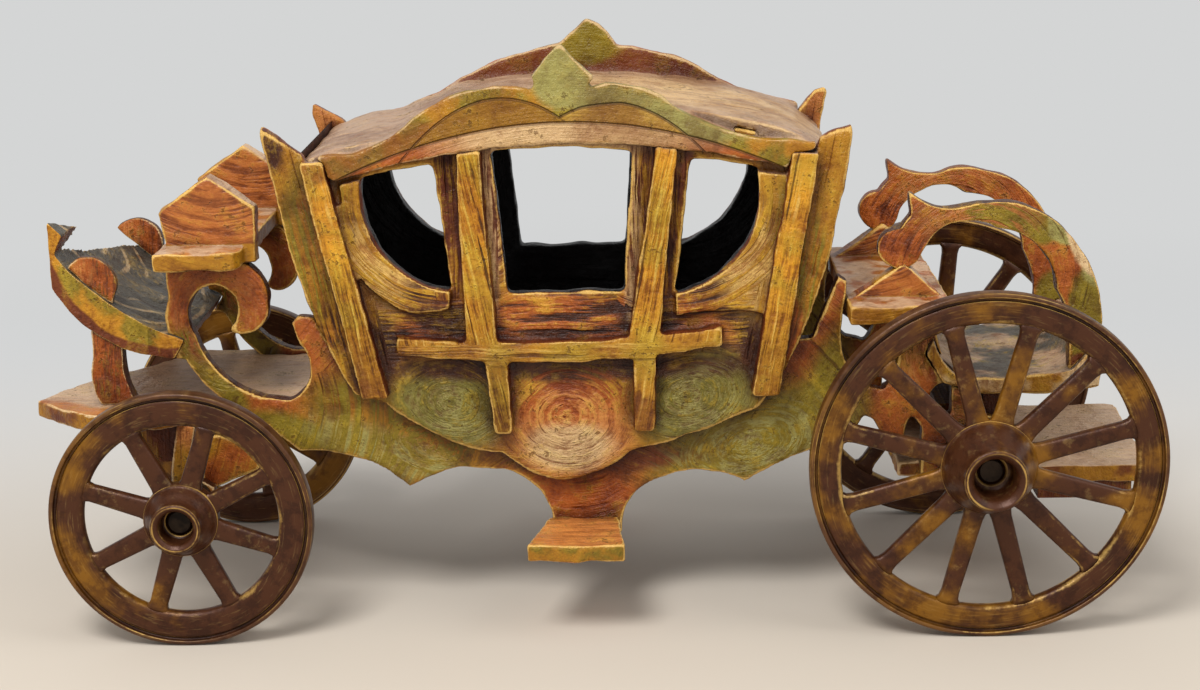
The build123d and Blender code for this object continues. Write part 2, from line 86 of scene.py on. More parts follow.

# Carving
SEAM = 0.005 * MM                 # corners of a board nearer than this are one
BROAD, FINE = 23 * MM, 9 * MM     # spans of the lumps
ROUNDED, FLATTENED = 3, 12        # rounds of smoothing that soften the edges, and that then wipe them out
PROUD = 0.8                       # cells by which an edge stands out where worn is 1

# Wheels
BORE, COLLAR = 3.3 * MM, 7 * MM   # radii of a hub's bore and of the step in its socket
# end, axle x from the middle of the cabin, radius, depth of the rim, hub radius, socket, its floor, hub tip,
# flare of the mouth across and deep, spokes, turns left and right, spoke widths at the hub and rim; in mm
WHEELS = (
    ("front", -196.5, 66.7, 17.5, 17.6, 8.6, 3.0, 17.2, 2.4, 2.6, 8, (27.0, -12.0), 11.0, 9.0),
    ("rear", 207.6, 89.0, 16.0, 22.8, 10.3, 6.0, 26.3, 3.6, 4.4, 12, (15.0, -25.0), 10.5, 9.0),
)


def srgb(red, green, blue):
    """Linear colour of an sRGB value out of 255."""
    shares = (red / 255, green / 255, blue / 255)
    return tuple(((c + 0.055) / 1.055) ** 2.4 if c > 0.04045 else c / 12.92 for c in shares)


def shade(colour, share):
    """A colour made darker, or lighter with a share over 1."""
    return tuple(share * c for c in colour)


def tint(name, red, green, blue, description):
    """A colour property with its default as an sRGB value."""
    return FloatVectorProperty(name=name, description=description, default=srgb(red, green, blue),
                               subtype="COLOR", size=3, min=0, max=1)


def length(name, millimetres, description):
    """A length property with its default in millimetres."""
    return FloatProperty(name=name, description=description, default=millimetres * MM, unit="LENGTH", min=0)


def angle(name, degrees, description):
    """An angle property with its default in degrees."""
    return FloatProperty(name=name, description=description, default=math.radians(degrees), subtype="ANGLE")


class CoachColours(bpy.types.PropertyGroup):
    """Paints of the coach"""
    rust: tint("Rust orange", 170, 88, 30, "Orange paint on scrolls and gables")
    russet: tint("Russet", 112, 54, 22, "Darker rust of the rear scroll and the hidden boards")
    salmon: tint("Salmon", 188, 118, 58, "Pale orange of the middle panel and the pedestal")
    blush: tint("Pale band", 206, 168, 118, "Pale band over the windows and the worn tops")
    olive: tint("Olive green", 130, 110, 26, "Green of the aprons and horns")
    fern: tint("Shaded green", 112, 102, 38, "Green of the panels under the waist")
    verdigris: tint("Verdigris", 154, 144, 78, "Pale blue-green of the shield and the worn green")
    umber: tint("Umber", 78, 40, 18, "Dark brown in crevices and along the waist")
    gilt: tint("Gilt", 172, 118, 26, "Gold paint of battens and edges")
    # pale_gilt also paints the bright highlight lines along edges
    pale_gilt: tint("Rubbed gilt", 226, 182, 98, "Gilt where it is rubbed bright")
    cream: tint("Bare edge", 226, 192, 142, "Ground that shows at worn edges")
    slate: tint("Slate", 84, 79, 69, "Grey of the footboards")
    taupe: tint("Taupe", 206, 170, 134, "Platforms")
    dusty: tint("Dusty pink", 176, 142, 114, "Roof")
    black: tint("Inside black", 20, 13, 13, "Inside of the cabin")
    bronze: tint("Bronze", 74, 40, 20, "Wheels")
    bronze_gilt: tint("Bronze gilt", 138, 92, 20, "Wheels where the bronze is rubbed bright")


class CoachRelief(bpy.types.PropertyGroup):
    """Hand-made edges and combing of the boards"""
    voxel: length("Cell", 1.2, "Size of the cells that the boards are fused from")
    lump: length("Lumps", 0.45, "How far a board's surface strays from flat")
    stroke: length("Comb pitch", 1.2, "Distance between combed strokes")
    comb: length("Comb depth", 2.2, "Depth of the combing in the paint")


class CoachWheels(bpy.types.PropertyGroup):
    """Cast wheels"""
    rim: length("Rim width", 9.5, "Width of a tread")
    band: length("Outer band", 2.6, "Height of the raised band round a rim")
    web: length("Spoke thickness", 6.4, "Thickness of a spoke at its middle")
    hub_back: length("Hub back", 13.0, "From the middle of the rim to the inner end of a hub")
    hub_middle: length("Hub middle", 94.85, "From the centre line to the middle of the rims")


class CoachStage(bpy.types.PropertyGroup):
    """Camera, lamps and ground"""
    place: FloatVectorProperty(
        name="Camera place", description="Where the camera stands", default=(0.0285, -1.1010, 0.4115),
        subtype="TRANSLATION", size=3)
    turn: angle("Camera turn", 1.372, "Turn about the vertical")
    dip: angle("Camera dip", 14.359, "How far the camera looks down")
    roll: angle("Camera roll", -1.171, "Roll about the line of sight")
    lens: FloatProperty(name="Lens", description="Focal length on a 36 mm film", default=63.48, min=10,
                        max=300)
    key: FloatProperty(name="Front lamp", description="Power of the large lamp in front", default=23.5,
                       unit="POWER")
    fill: FloatProperty(name="Sky", description="Strength of the light from all round", default=0.58, min=0)
    reach: FloatProperty(name="Reach", description="How far the cloth runs each way", default=8.0, min=1,
                         subtype="DISTANCE", unit="LENGTH")
    ground: tint("Ground", 207, 196, 181, "Cloth that the coach stands on")
    back: tint("Backdrop", 212, 213, 213, "Cloth behind the coach")


def paints(names):
    """Colours of the coach by their names."""
    own = bpy.context.scene.coach_colours
    return [tuple(getattr(own, name)) for name in names.split()]


def relief():
    return bpy.context.scene.coach_relief


class Finish:
    """One node material, built up from a few plain steps. A value is a number, a colour or a socket."""

    def __init__(self, name):
        self.material = bpy.data.materials.new(name)
        self.material.use_nodes = True
        self.tree = self.material.node_tree
        self.tree.nodes.clear()
        place = self.node("ShaderNodeTexCoord")
        self.place = place.outputs["Object"]
        self.x, self.y, self.z = self.node("ShaderNodeSeparateXYZ", Vector=self.place).outputs
        facing = self.node("ShaderNodeSeparateXYZ", Vector=place.outputs["Normal"]).outputs
        self.ahead, self.aside, self.up = facing
        self.grain = self.noise(60, 4)
        self.fleck = self.noise(300, 3, 0.7)

    def node(self, kind, settings=None, **inputs):
        """A node with its settings and its named inputs filled or linked."""
        made = self.tree.nodes.new(kind)
        for key, value in (settings or {}).items():
            setattr(made, key, value)
        for key, value in inputs.items():
            self.put(made.inputs[key.replace("_", " ")], value)
        return made

    def put(self, socket, value):
        """Links a socket or sets a plain value."""
        if isinstance(value, bpy.types.NodeSocket):
            self.tree.links.new(value, socket)
        elif socket.type == "RGBA" and len(value) == 3:
            socket.default_value = (*value, 1)
        else:
            socket.default_value = value

    def maths(self, operation, *values):
        made = self.tree.nodes.new("ShaderNodeMath")
        made.operation = operation
        for socket, value in zip(made.inputs, values):
            self.put(socket, value)
        return made.outputs[0]

    def times(self, value, *others):
        for other in others:
            value = self.maths("MULTIPLY", value, other)
        return value

    def plus(self, value, *others):
        for other in others:
            value = self.maths("ADD", value, other)
        return value

    def less(self, value, other):
        return self.maths("SUBTRACT", value, other)

    def size(self, value):
        """A value without its sign."""
        return self.maths("ABSOLUTE", value)

    def gap(self, value, place):
        """How far a value is from a place, either way."""
        return self.size(self.less(value, place))

    def far(self, a, b):
        """Length of an offset (a, b)."""
        return self.maths("SQRT", self.plus(self.times(a, a), self.times(b, b)))

    def swing(self, value, reach):
        """What a value strays from 0.5, times a reach."""
        return self.times(self.less(value, 0.5), reach)

    def vector(self, x, y, z=0.0):
        return self.node("ShaderNodeCombineXYZ", X=x, Y=y, Z=z).outputs[0]

    def noise(self, scale, detail=3.0, roughness=0.55, at=None):
        """Soft noise from 0 to 1 about 0.5."""
        return self.node("ShaderNodeTexNoise", Vector=self.place if at is None else at, Scale=scale,
                         Detail=detail, Roughness=roughness).outputs["Fac"]

    def step(self, value, low, high, top=1.0):
        """Smooth step from 0 at low to a top, mostly 1, at high."""
        return self.node("ShaderNodeMapRange", {"interpolation_type": "SMOOTHSTEP"}, Value=value,
                         From_Min=low, From_Max=high, To_Max=top).outputs[0]

    def blend(self, share, under, over):
        """One value running into another."""
        return self.plus(under, self.times(share, self.less(over, under)))

    def mix(self, share, under, over, mode="MIX"):
        """One colour laid over another."""
        made = self.tree.nodes.new("ShaderNodeMix")
        made.data_type = "RGBA"
        made.blend_type = mode
        self.put(made.inputs[0], share)
        self.put(made.inputs[6], under)
        self.put(made.inputs[7], over)
        return made.outputs[2]

    def layers(self, colour, *coats):
        """Coats laid over a colour in turn, each (share, paint) or (share, paint, mode)."""
        for share, over, *mode in coats:
            colour = self.mix(share, colour, over, *mode)
        return colour

    def offsets(self, x, z, plane):
        """How far a point is from a place given in the cabin's millimetres, along x and across."""
        across = {"Z": self.z, "Y": self.y}[plane]
        return self.less(self.x, CABIN_X + x * MM), self.less(across, z * MM)

    def leant(self, x, z, wide, high, lean, plane):
        """Offsets from a place, turned by the lean and divided by wide and high."""
        a, b = self.offsets(x, z, plane)
        cos, sin = math.cos(math.radians(lean)), math.sin(math.radians(lean))
        return (self.plus(self.times(a, cos / wide), self.times(b, sin / wide)),
                self.less(self.times(b, cos / high), self.times(a, sin / high)))

    def patch(self, x, z, wide, high, lean=0.0, ragged=0.5, soft=0.16, plane="Z"):
        """1 inside a ragged leaning ellipse, 0 outside it."""
        far = self.far(*self.leant(x, z, wide * MM, high * MM, lean, plane))
        rough = self.plus(self.grain, self.times(self.fleck, 0.5))
        far = self.plus(far, self.times(self.less(rough, 0.75), ragged))
        return self.step(far, 1 + soft, 1 - soft)

    def lines(self, across, along, run=9.0):
        """Comb lines: how far a point is across them, and how far along, divided by a stroke's length."""
        return across, self.maths("DIVIDE", along, run)

    def rings(self, x, z, squash=1.0, lean=0.0, plane="Z", run=9.0):
        """Comb lines in rings about a place: the distance from it, with one axis squashed."""
        u, v = self.leant(x, z, 1, squash, lean, plane)
        around = self.size(self.maths("ARCTAN2", v, u))
        return self.lines(self.far(u, v), self.times(around, RING), run)

    def veer(self, inside, under, over):
        """Comb lines that change course at the edge of a place."""
        inside = self.maths("GREATER_THAN", inside, 0.5)
        return tuple(self.blend(inside, a, b) for a, b in zip(under, over))

    def strokes(self, lines):
        """Comb strokes about 0.5: a fine and a broad noise, both long along the lines. They show more in some
        places than in others, and here and there a tooth dug deep."""
        pitch = relief().stroke
        across = self.plus(self.maths("DIVIDE", lines[0], pitch), self.swing(self.noise(30, 3), 3.5))
        along = self.maths("DIVIDE", lines[1], pitch)
        fine = self.noise(1.0, 3.0, 0.65, at=self.vector(across, along))
        shows = self.blend(self.step(self.noise(24, 3), 0.38, 0.62), 0.25, 1.0)
        broad = self.noise(0.30, 3.0, 0.6, at=self.vector(across, self.times(along, 1.4), 3.0))
        level = self.plus(self.swing(fine, shows), self.swing(broad, 0.8))
        tooth = self.noise(0.6, 0.0, at=self.vector(across, self.times(along, 0.6), 9.0))
        return self.less(self.plus(level, 0.5), self.times(self.step(tooth, 0.27, 0.2), 0.3))

    def over_arch(self, x, top, fall):
        """Height over a parabola with its top at a place: z - (top - fall x^2)."""
        a, b = self.offsets(x, top, "Z")
        return self.plus(b, self.times(a, a, fall))

    def stands_out(self):
        """How far a carved piece stands out at each point, kept in its attribute worn."""
        return self.node("ShaderNodeAttribute", {"attribute_name": "worn"}).outputs["Fac"]

    def rubbed(self, low=0.45, high=1.0, ragged=1.5):
        """Share on the edges, in patches: where paint is rubbed off, and with narrow bounds where a painted
        highlight line runs along them.
        """
        patchy = self.plus(*(self.less(noise, 0.5) for noise in (self.grain, self.fleck, self.noise(24, 2))))
        return self.step(self.plus(self.stands_out(), self.times(patchy, ragged)), low, high)

    def crevice(self, reach=11.0):
        """Share of dark paint where other surfaces are near and in the hollows of a carved piece: painted
        shade of those corners, with some grime.
        """
        near = self.node("ShaderNodeAmbientOcclusion", {"samples": 6}, Distance=reach * MM)
        dark = self.less(self.less(1.0, near.outputs["AO"]), self.times(self.stands_out(), 0.25))
        ragged = self.plus(self.swing(self.grain, 0.8), self.swing(self.noise(24, 2), 0.6))
        return self.step(self.plus(dark, ragged), 0.06, 0.5)

    def close(self, colour, height=None, rough=0.4, metal=0.0, depth=None, rounding=None, gloss=0.32):
        """Ends the finish: colour, roughness, metal and the height that the bump follows."""
        shader = self.node("ShaderNodeBsdfPrincipled", Base_Color=colour, Roughness=rough, Metallic=metal)
        shader.inputs["Specular IOR Level"].default_value = gloss
        normal = {}
        if rounding:
            normal["Normal"] = self.node("ShaderNodeBevel", {"samples": 4}, Radius=rounding).outputs[0]
        if height is not None:
            depth = depth or relief().comb
            normal["Normal"] = self.node(
                "ShaderNodeBump", Height=height, Distance=depth, Strength=1.0, **normal).outputs[0]
        for name, value in normal.items():
            self.put(shader.inputs[name], value)
        self.node("ShaderNodeOutputMaterial", Surface=shader.outputs[0])
        return self.material


def worn(make, colour, strokes, combed=0.55, lit=0.5, dark=0.75, pits=0.7, dirt=0.85, edge=None, bare=0.85,
         glaze=0.6):
    """Paint as it has aged, with painted light and shade in it. The level of its surface is the comb's
    strokes with coarse and fine roughness. A brown glaze lies in cloudy patches and in pits; where the level
    is low it darkens as glaze with painted shade, near other surfaces and in hollows as grime with painted
    shade, and the high places take a painted highlight with some rubbing. The edges are rubbed to gilt and
    then to the bare ground, in a thin bright line that is partly painted highlight."""
    gilt, rubbed_and_highlit_gilt = paints("gilt pale_gilt")
    level = make.plus(make.swing(strokes, combed), make.swing(make.grain, 0.8), make.swing(make.fleck, 0.5))
    cloud = make.step(make.noise(26, 6, 0.7), 0.44, 0.64)
    pitted = make.times(make.step(make.fleck, 0.56, 0.66), make.step(make.grain, 0.46, 0.60))
    runs = make.step(make.noise(30, 3), 0.36, 0.52, bare)
    colour = make.layers(
        colour,
        (make.times(cloud, glaze), BROWN, "MULTIPLY"),
        # low places of the combed surface: glaze with painted shade
        (make.step(level, 0.0, -0.24, dark), BROWN, "MULTIPLY"),
        # high places of the combed surface: painted highlight with some rubbing
        (make.step(level, 0.0, 0.24, lit), CREST_HIGHLIGHT, "SCREEN"),
        (make.times(pitted, pits), DEEP, "MULTIPLY"),
        # near other surfaces and in hollows: painted shade with some grime
        (make.times(make.crevice(), dirt), DEEP, "MULTIPLY"),
        (make.times(make.rubbed(0.3, 1.1), bare * 0.5), gilt),
        # thin bright line along the edges: painted highlight with rubbing
        (make.times(make.rubbed(0.66, 0.92, 0.5), runs), edge or rubbed_and_highlit_gilt))
    grit = make.times(make.noise(900, 2), 0.15)
    return colour, make.less(make.plus(level, grit), make.times(pitted, 0.25))


def combed_paint(name, ground, comb, zones=(), swirls=(), streaks=(), bold=(), plane="Z", sawn=None,
                 inner=None, proud=None, combed=0.55, lit=0.5, soft=0.3, **age):
    """Thick combed paint. Zones are (paint, x, z, wide, high, lean), streaks the same but only in the comb's
    grooves. Swirls and bold places are (x, z, wide, high, lean): in a swirl the comb ran round its middle, or
    round the place that two more numbers give. In a bold place the strokes stand out, with more painted shade
    in their grooves and a painted highlight on their crests, and one more number says how bright that
    highlight is. All are in the cabin's millimetres. sawn is the paint of the board's edges, inner of what
    lies within a distance of the middle, proud of what lies beyond one."""
    make = Finish(name)
    lines = comb(make)
    for x, z, wide, high, lean, *about in swirls:
        inside = make.patch(x, z, wide, high, lean, 0.25, 0.2, plane)
        ring = (*about, 1.0, 0.0) if about else (x, z, high / wide, lean)
        lines = make.veer(inside, lines, make.rings(*ring, plane))
    out = make.size(make.y)
    if proud is not None:
        raised_paint, beyond, upright = proud
        raised = make.step(out, (beyond - 0.6) * MM, (beyond + 0.6) * MM)
        lines = make.veer(raised, lines, upright(make))
    strokes = make.strokes(lines)
    for x, z, wide, high, lean, *about in swirls:
        if not about:
            strokes = make.blend(make.patch(x, z, 7, 6, 0, 0.8, 0.5, plane), strokes, make.fleck)
    for x, z, wide, high, lean, *crest in bold:
        inside = make.patch(x, z, wide, high, lean, ragged=0.4, soft=0.4, plane=plane)
        combed = make.blend(inside, combed, 1.15)
        lit = make.blend(inside, lit, crest[0] if crest else 0.8)
    groove = make.step(strokes, 0.55, 0.42)
    colour = make.layers(
        ground, *((make.patch(*place, soft=soft, plane=plane), over) for over, *place in zones),
        *((make.times(make.patch(*place, soft=0.4, plane=plane), groove), over) for over, *place in streaks))
    if proud is not None:
        colour = make.mix(raised, colour, raised_paint(make, strokes))
    if sawn is not None:
        side = make.size(make.aside if plane == "Z" else make.up)
        colour = make.mix(make.step(side, 0.75, 0.45), colour, sawn(make) if callable(sawn) else sawn)
    if inner is not None:
        wall, within, horns = inner
        near = make.step(out, (within + 3.0) * MM, (within + 1.6) * MM)
        aside = make.gap(make.x, CABIN_X)
        eaves = make.times(make.step(make.z, *EAVES), make.step(aside, *HORN))
        colour = make.mix(make.times(near, eaves), colour, horns)
    colour, height = worn(make, colour, strokes, combed=combed, lit=lit, **age)
    if inner is not None:
        window = make.times(make.step(make.z, *SILL), make.step(aside, *JAMB))
        reveal = make.times(window, make.step(make.size(make.aside), 0.55, 0.35),
                            make.step(out, (within + 7.0) * MM, (within + 6.0) * MM))
        near = make.maths("MAXIMUM", make.times(near, make.less(1.0, eaves)), reveal)
        colour = make.mix(near, colour, wall)
    return make.close(colour, height)


def wave(points, span, seed):
    """Lumps from -1 to 1: the mean of four sine waves of about one span that cross at odd angles."""
    ways = np.random.default_rng(seed).normal(size=(4, 3))
    ways /= np.linalg.norm(ways, axis=1, keepdims=True)
    return np.sin(points @ ways.T * (2 * math.pi / span) + np.arange(4) * 1.7 + seed).mean(axis=1) * 1.6


def smoothed(points, edges, times):
    """Each point goes halfway to the mean of its neighbours, several times over."""
    ways = (edges.T, edges.T[::-1])
    count = np.bincount(edges.ravel(), minlength=len(points))[:, None]
    for _ in range(times):
        total = [sum(np.bincount(a, points[b, axis], len(points)) for a, b in ways) for axis in range(3)]
        mean = np.stack(total, axis=-1) / count
        points = (points + mean) / 2
    return points


def set_worn(mesh, values):
    """Keeps how far each point stands out, from -1 in a hollow to 1 on an edge."""
    layer = mesh.attributes.new("worn", "FLOAT", "POINT")
    layer.data.foreach_set("value", np.clip(values, -1, 1).astype(np.float32))


def values_of(items, key, width=3, kind=float):
    """One value of every item, a row each."""
    values = np.empty(len(items) * width, dtype=kind)
    items.foreach_get(key, values)
    return values.reshape(-1, width)


def placed(name, data):
    """An object of the scene that shows a mesh, a lamp or a camera."""
    made = bpy.data.objects.new(name, data)
    bpy.context.scene.collection.objects.link(made)
    return made


def in_place_of(name, mesh, material, nodes):
    """A finished piece that rides its nodes' body and takes their place."""
    mesh.materials.clear()
    mesh.materials.append(material)
    mesh.polygons.foreach_set("use_smooth", np.ones(len(mesh.polygons), dtype=bool))
    piece = placed(name, mesh)
    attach(piece, BODY_OF[nodes[0]])
    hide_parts(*nodes)


def carved(name, nodes, material, cell=1.0, swell=0.0):
    """Boards fused and worn round as by hand. Copies of the nodes are merged, remeshed in cells that are
    drawn back onto the boards, and smoothed. Each point p then moves along its normal, inside the box, by
    lump times (wave(p, broad) + wave(p, fine) / 2)."""
    own = relief()
    work = bmesh.new()
    for node in nodes:
        work.from_mesh(NODES[node].data)
    bmesh.ops.remove_doubles(work, verts=work.verts, dist=SEAM)
    mesh = bpy.data.meshes.new(name)
    work.to_mesh(mesh)
    work.free()
    corners = values_of(mesh.vertices, "co")
    sharp, rough = placed(f"{name}_sharp", mesh), placed(f"{name}_rough", mesh)
    if swell:
        fatter = rough.modifiers.new("swell", "DISPLACE")
        fatter.mid_level, fatter.strength = 0, swell
    fuse = rough.modifiers.new("fuse", "REMESH")
    fuse.mode = "VOXEL"
    fuse.voxel_size = own.voxel * cell
    rough.modifiers.new("back onto the boards", "SHRINKWRAP").target = sharp
    whole = bpy.data.meshes.new_from_object(rough.evaluated_get(bpy.context.evaluated_depsgraph_get()))
    bpy.data.objects.remove(rough)
    bpy.data.objects.remove(sharp)
    bpy.data.meshes.remove(mesh)

    points, normals = values_of(whole.vertices, "co"), values_of(whole.vertex_normals, "vector")
    edges = values_of(whole.edges, "vertices", 2, np.int64)
    soft = smoothed(points, edges, ROUNDED)
    broad = smoothed(soft, edges, FLATTENED)
    set_worn(whole, ((points - broad) * normals).sum(axis=1) / (PROUD * own.voxel * cell))
    stray = wave(soft, BROAD, 3) + wave(soft, FINE, 7) / 2
    soft = soft + normals * (stray * own.lump)[:, None]
    soft = np.clip(soft, corners.min(axis=0), corners.max(axis=0))
    whole.vertices.foreach_set("co", soft.ravel())
    whole.update()
    whole.name = name
    in_place_of(name, whole, material, nodes)


def cut_corners(path, times=2):
    """Rounds a closed path: each corner gives way to two points, a quarter along the runs either side."""
    for _ in range(times):
        ahead = np.roll(path, -1, axis=0)
        path = np.stack((0.75 * path + 0.25 * ahead, 0.25 * path + 0.75 * ahead), axis=1)
        path = path.reshape(-1, path.shape[-1])
    return path


def turned(section, centre, out, segments):
    """A closed section (radius, outwards) turned about an axle: (r cos u, s, r sin u) from the centre."""
    u = np.linspace(0, 2 * math.pi, segments, endpoint=False)[:, None]
    r, s = section[None, :, 0], section[None, :, 1]
    around = np.stack((r * np.cos(u), out * s + 0 * u, r * np.sin(u)), axis=-1)
    before, after = section - np.roll(section, 1, axis=0), np.roll(section, -1, axis=0) - section
    bend = before[:, 0] * after[:, 1] - before[:, 1] * after[:, 0]
    bend = bend / (np.linalg.norm(before, axis=1) * np.linalg.norm(after, axis=1) + 1e-12)
    return around + centre, np.broadcast_to(np.sign(signed_area(section)) * bend * 1.6, around.shape[:2])


def signed_area(section):
    """Half the sum of the cross products round a closed section: positive where it runs anticlockwise."""
    after = np.roll(section, -1, axis=0)
    return (section[:, 0] * after[:, 1] - section[:, 1] * after[:, 0]).sum() / 2


def spoke(centre, out, turn, near, far, near_half, far_half, thick):
    """A cast spoke: a rounded section, |a|^3 + |b|^3 = 1, carried from the hub to the rim, that flares over a
    tenth of its length where it runs into them."""
    v = np.linspace(0, 1, 18)
    u = np.linspace(0, 2 * math.pi, 20, endpoint=False)
    foot, head = (np.clip(1 - run / 0.10, 0, 1) ** 2 for run in (v, 1 - v))
    flare = 1 + 0.55 * foot + 0.75 * head
    half = (near_half + (far_half - near_half) * v) * flare
    along = (near + (far - near) * v)[:, None]
    a, b = (np.sign(c) * np.abs(c) ** (2 / 3) for c in (np.cos(u), np.sin(u)))
    across = half[:, None] * a[None, :]
    deep = (thick / 2 * (1 + 0.12 * (flare - 1)))[:, None] * b[None, :]
    cos, sin = math.cos(turn), math.sin(turn)
    points = np.stack((along * cos - across * sin, out * deep, along * sin + across * cos), axis=-1)
    return points + centre, np.broadcast_to(np.abs(np.sin(2 * u)) ** 3 * 0.7, points.shape[:2])


def quads(index):
    """The four corners of each face of a grid of point numbers."""
    corners = (index[:-1, :-1], index[1:, :-1], index[1:, 1:], index[:-1, 1:])
    return np.stack(corners, axis=-1).reshape(-1, 4)


def joined_grids(name, grids):
    """One mesh of several grids (points, worn, closed round both ways or capped at both ends)."""
    places, wear, faces, start = [], [], [], 0
    for points, shows, ring in grids:
        rows, columns = points.shape[:2]
        index = start + np.arange(rows * columns).reshape(rows, columns)
        if not ring:
            caps = [index[0].tolist(), index[-1, ::-1].tolist()]
        else:
            index, caps = np.vstack((index, index[:1])), []
        faces += quads(np.hstack((index, index[:, :1]))).tolist() + caps
        places.append(points.reshape(-1, 3))
        wear.append(shows.ravel())
        start += rows * columns
    mesh = bpy.data.meshes.new(name)
    mesh.from_pydata(np.vstack(places).tolist(), [], faces)
    work = bmesh.new()
    work.from_mesh(mesh)
    bmesh.ops.recalc_face_normals(work, faces=work.faces)
    work.to_mesh(mesh)
    work.free()
    set_worn(mesh, np.concatenate(wear))
    return mesh


def dress(names, material):
    """Gives CAD nodes a material of the coach in every slot they have."""
    for name in names:
        mesh = NODES[name].data
        if not mesh.materials:
            mesh.materials.append(material)
        for index in range(len(mesh.materials)):
            mesh.materials[index] = material


class OBJECT_OT_coach_side_boards(bpy.types.Operator):
    """Carve and paint the side plates, scrolls and arms"""
    bl_idname = "object.coach_side_boards"
    bl_label = "Side boards"

    def execute(self, context):
        rust, russet, salmon, olive, umber, gilt, cream, pale = paints(
            "rust russet salmon olive umber gilt cream verdigris")
        board = combed_paint(
            "side board paint", rust, lambda m: m.rings(4, 20, run=20.0), sawn=umber,
            zones=(
                (olive, -90, 100, 50, 26, -24), (olive, 92, 94, 58, 26, 16), (olive, -150, 98, 34, 12, -12),
                (olive, -186, 132, 28, 10, -52), (olive, 138, 122, 18, 34, -16), (russet, 4, 84, 54, 9, 0),
                (russet, 196, 128, 44, 60, 0), (umber, -230, 176, 9, 16, 0), (russet, -226, 160, 9, 14, 10),
                (umber, -206, 196, 12, 5, 0), (rust, 172, 112, 14, 26, 10), (gilt, -196, 96, 14, 12, 0),
                (rust, -152, 138, 12, 20, -30)),
            streaks=(
                (umber, -96, 112, 40, 9, -24), (umber, -30, 86, 30, 8, -12), (umber, 60, 108, 40, 7, 14),
                (umber, -226, 176, 16, 20, 0), (gilt, -80, 92, 50, 20, -24), (pale, 96, 90, 46, 20, 16),
                (pale, -90, 84, 50, 12, -24), (salmon, 196, 140, 40, 40, 0), (salmon, -180, 160, 30, 20, 0)),
            swirls=((-116, 104, 34, 30, 0, -184, 116), (-72, 92, 26, 16, -20), (92, 90, 38, 22, 18),
                    (2, 60, 24, 19, 0, 2, 100), (-176, 160, 34, 40, 0), (206, 140, 60, 70, 0)))
        facets = ((olive, 226, 208, 30, 14, -14), (pale, 250, 201, 10, 9, -50), (olive, 266, 158, 14, 22, 0),
                  (pale, 269, 180, 10, 10, 0), (cream, 261, 191, 8, 17, 28))
        for side, hand, edge, green in (("left", "near", umber, facets), ("right", "far", russet, ())):
            stems = ("side_plate", "front_scroll", "fan_bracket", "rear_scroll")
            carved(f"side_board_{side}", [f"{stem}_{side}" for stem in stems], board, cell=1.05)
            arm = combed_paint(
                f"{hand} arm paint", rust, lambda m: m.rings(206, 176), sawn=edge,
                zones=(*green, (olive, 266, 140, 12, 18, 0), (russet, 262, 124, 14, 12, 0)),
                streaks=((russet, 186, 200, 26, 14, 0), (salmon, 204, 206, 30, 14, 0)), dirt=0.4, soft=0.14)
            carved(f"arm_{side}", (f"swan_arm_{side}", f"arm_post_{side}"), arm, cell=0.8)
        return {"FINISHED"}


